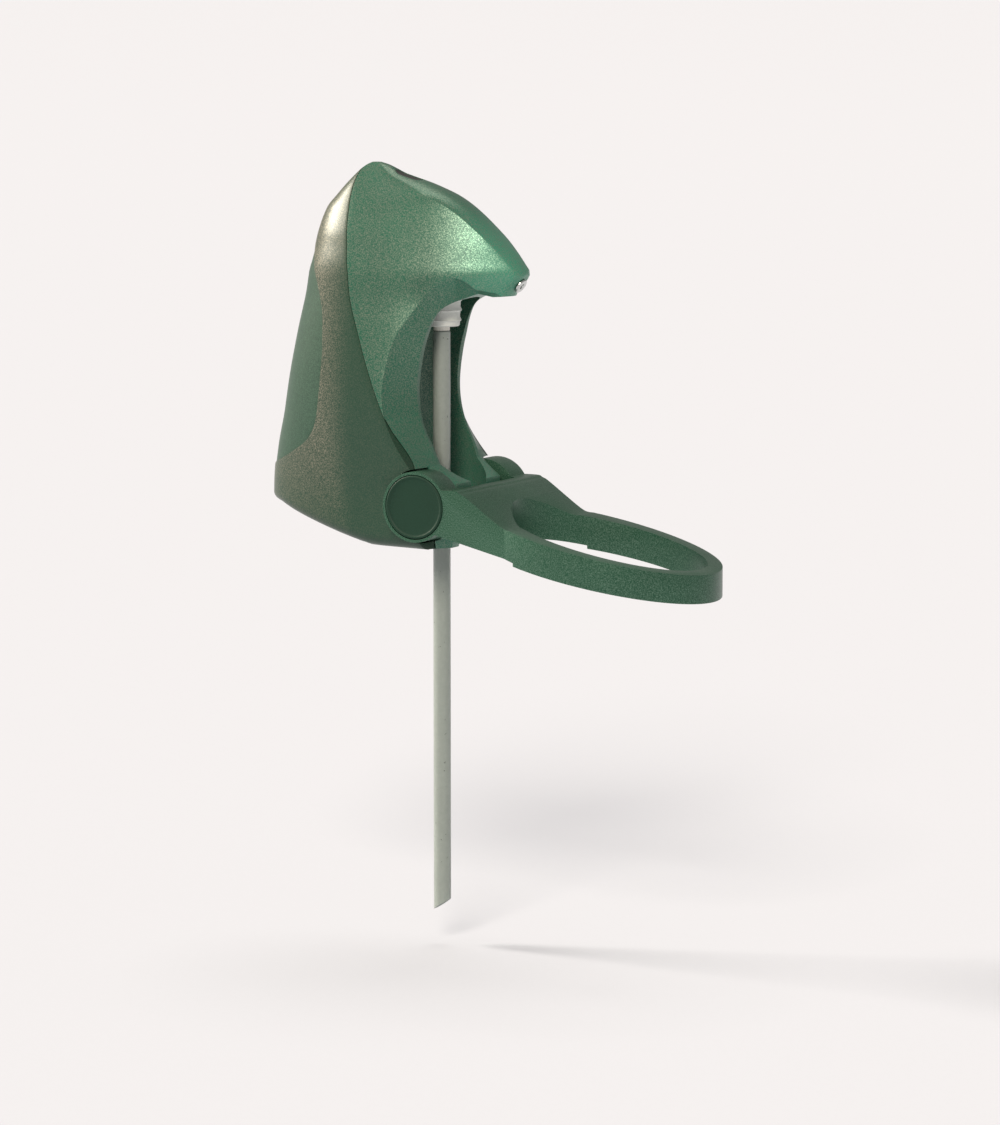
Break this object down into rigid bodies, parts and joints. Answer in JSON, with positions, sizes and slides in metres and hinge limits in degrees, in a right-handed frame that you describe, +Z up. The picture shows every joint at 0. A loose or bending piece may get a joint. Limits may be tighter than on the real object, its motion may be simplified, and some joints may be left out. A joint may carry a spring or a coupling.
{
  "type": "electric cider pourer",
  "caption": "Battery-driven pouring head that seats on a bottle's mouth, with a push button, a forward spout and a hinged ring that holds a tilted glass.",
  "frame": {"origin": "on the bottle's axis, in the plane of its rim, where the head's stopper flange rests", "axes": "+X towards the spout and the glass ring, +Z up along the bottle's axis, +Y to the left of the head seen from behind"},
  "size_m": [0.2238, 0.096, 0.3453],
  "materials": {
    "green_paint": "satin moulded plastic with a fine metallic green paint",
    "rear_paint": "satin moulded plastic, green paint with a bronze-grey sheen",
    "panel_paint": "smooth satin green plastic",
    "base_plastic": "dark matt plastic",
    "ring_paint": "satin green painted plastic",
    "knob_plastic": "satin green plastic with a turned rim",
    "button_plastic": "matt black plastic",
    "nozzle_steel": "polished stainless steel",
    "steel": "plain steel",
    "spring_steel": "drawn spring wire",
    "screw_steel": "blackened steel",
    "stopper_rubber": "food-safe silicone rubber",
    "fitting_plastic": "clean white plastic",
    "tube_plastic": "clear-tinted stiff tube",
    "hose_rubber": "soft translucent hose",
    "pump_plastic": "natural engineering plastic",
    "idler_plastic": "natural engineering plastic",
    "cap_plastic": "black motor cap",
    "board_laminate": "green board laminate",
    "switch_metal": "small switch housing",
    "plunger_plastic": "black switch plunger",
    "tray_plastic": "black moulded tray",
    "red_insulation": "soft red insulation",
    "black_insulation": "soft black insulation",
    "cell_jacket": "plain grey sleeve"
  },
  "bodies": {
    "head": {"front_shell": "green_paint", "rear_shell": "rear_paint", "base_plate": "base_plastic", "nozzle": "nozzle_steel", "nozzle_nut": "steel", "bottle_stopper": "stopper_rubber", "stopper_fitting": "fitting_plastic", "dip_tube": "tube_plastic", "suction_hose": "hose_rubber", "outlet_hose": "hose_rubber", "pump_body": "pump_plastic", "pump_cover": "pump_plastic", "idler_pin": "steel", "motor_can": "steel", "motor_end_cap": "cap_plastic", "circuit_board": "board_laminate", "tact_switch": "switch_metal", "button_spring": "spring_steel", "battery_tray": "tray_plastic", "battery_lead": "red_insulation", "motor_lead": "black_insulation", "battery_1": "cell_jacket", "base_screw_1": "screw_steel", "pump_screw_1": "steel", "battery_2": "cell_jacket", "base_screw_2": "screw_steel", "pump_screw_2": "steel", "battery_3": "cell_jacket", "base_screw_3": "screw_steel", "pump_screw_3": "steel", "battery_4": "cell_jacket", "base_screw_4": "screw_steel", "pump_screw_4": "steel", "hinge_pin_right": "steel", "friction_washer_right": "steel", "hinge_pin_left": "steel", "friction_washer_left": "steel"},
    "ring": {"glass_ring": "ring_paint", "knob_cap_right": "knob_plastic", "knob_cap_left": "knob_plastic"},
    "button": {"push_button": "button_plastic"},
    "plunger": {"switch_plunger": "plunger_plastic"},
    "rotor": {"drive_gear_shaft": "steel"},
    "idler": {"idler_gear": "idler_plastic"},
    "cover": {"rear_cover": "panel_paint"}
  },
  "joints": [
    {"name": "ring_hinge", "type": "hinge", "parent": "head", "child": "ring", "pos_m": [0.0078, 0, -0.096], "axis": [0, -1, 0], "range_deg": [0, 60]},
    {"name": "button_press", "type": "slide", "parent": "head", "child": "button", "axis": [0, 0, -1], "range_m": [0, 0.0012], "stiffness_N_per_m": 900, "springref_m": -0.0006, "deforming": ["button_spring"]},
    {"name": "plunger_travel", "type": "slide", "parent": "head", "child": "plunger", "axis": [0, 0, -1], "range_m": [0, 0.00096]},
    {"name": "motor_spin", "type": "hinge", "parent": "head", "child": "rotor", "pos_m": [-0.012, 0, 0.0251], "axis": [1, 0, 0], "continuous": true},
    {"name": "idler_spin", "type": "hinge", "parent": "head", "child": "idler", "pos_m": [-0.012, 0, 0.0143], "axis": [1, 0, 0], "continuous": true},
    {"name": "cover_off", "type": "slide", "parent": "head", "child": "cover", "axis": [-1, 0, 0], "range_m": [0, 0.03]}
  ],
  "couplings": [
    {"joint": "plunger_travel", "follows": "button_press", "ratio": 0.8},
    {"joint": "idler_spin", "follows": "motor_spin", "ratio": -1}
  ]
}
